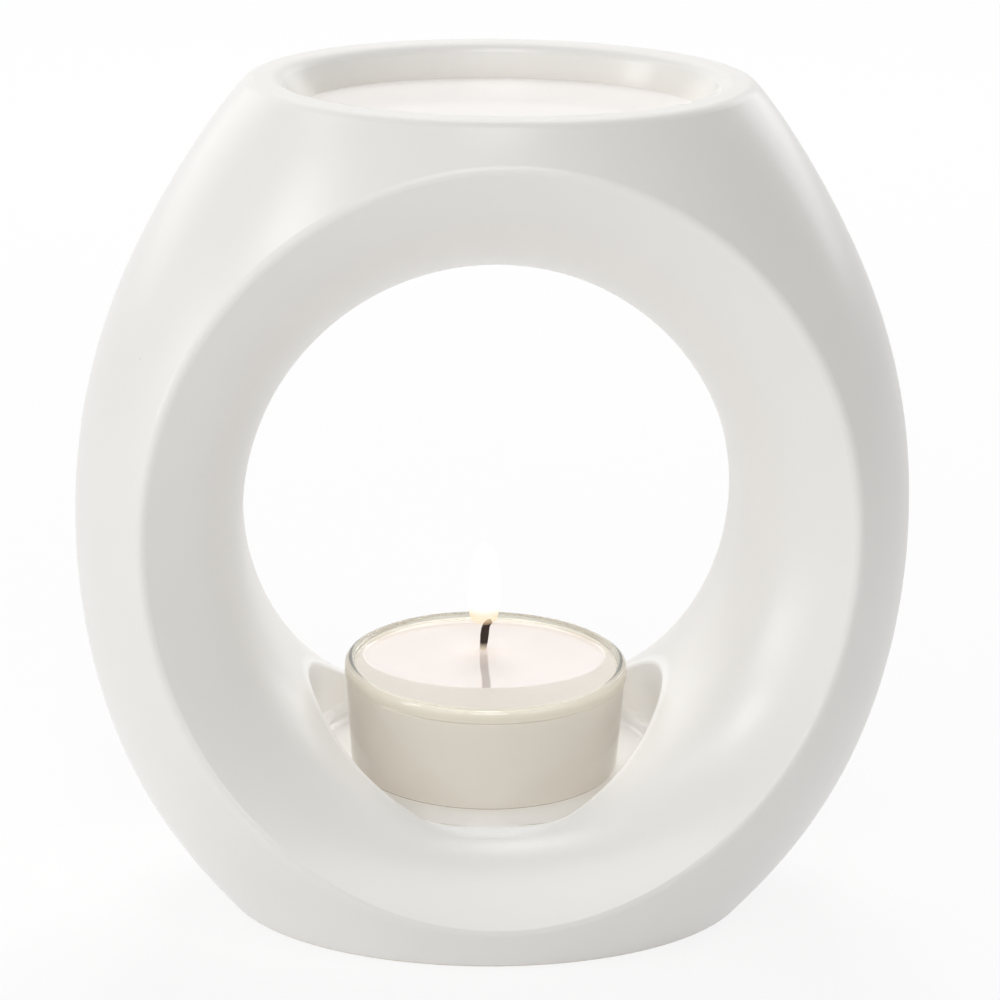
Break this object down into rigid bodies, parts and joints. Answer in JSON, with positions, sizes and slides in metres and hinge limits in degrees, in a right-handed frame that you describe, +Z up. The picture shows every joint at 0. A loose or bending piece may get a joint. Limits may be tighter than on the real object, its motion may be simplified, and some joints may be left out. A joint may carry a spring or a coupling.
{
  "type": "essential oil burner",
  "caption": "Barrel-shaped white ceramic oil burner, oval in plan, with a wide waisted hole from front to back, a shallow water dish on top and a tealight in a clear cup in its floor.",
  "frame": {"origin": "on the table, under the middle of the body", "axes": "+Z up through the dish, -Y out of the front of the hole, +X to the right as seen from the front"},
  "size_m": [0.1134, 0.062, 0.116],
  "materials": {
    "glazed_ceramic": "warm white satin glaze, glossier in the dish and the well",
    "water": "clear still water with a few drops of oil",
    "clear_cup": "clear polycarbonate tealight cup, glossy",
    "wax": "white paraffin wax, translucent, with a melted pool on top",
    "wick": "braided cotton wick, burnt at the tip and pale at the foot",
    "tinned_steel": "thin tinned steel"
  },
  "bodies": {
    "burner": {"ceramic_body": "glazed_ceramic", "water": "water"},
    "tealight": {"tealight_cup": "clear_cup", "wax": "wax", "wick": "wick", "wick_sustainer": "tinned_steel"}
  },
  "joints": [
    {"name": "tealight_lift", "type": "slide", "parent": "burner", "child": "tealight", "axis": [0, -0.7071, 0.7071], "range_m": [0, 0.075]}
  ]
}
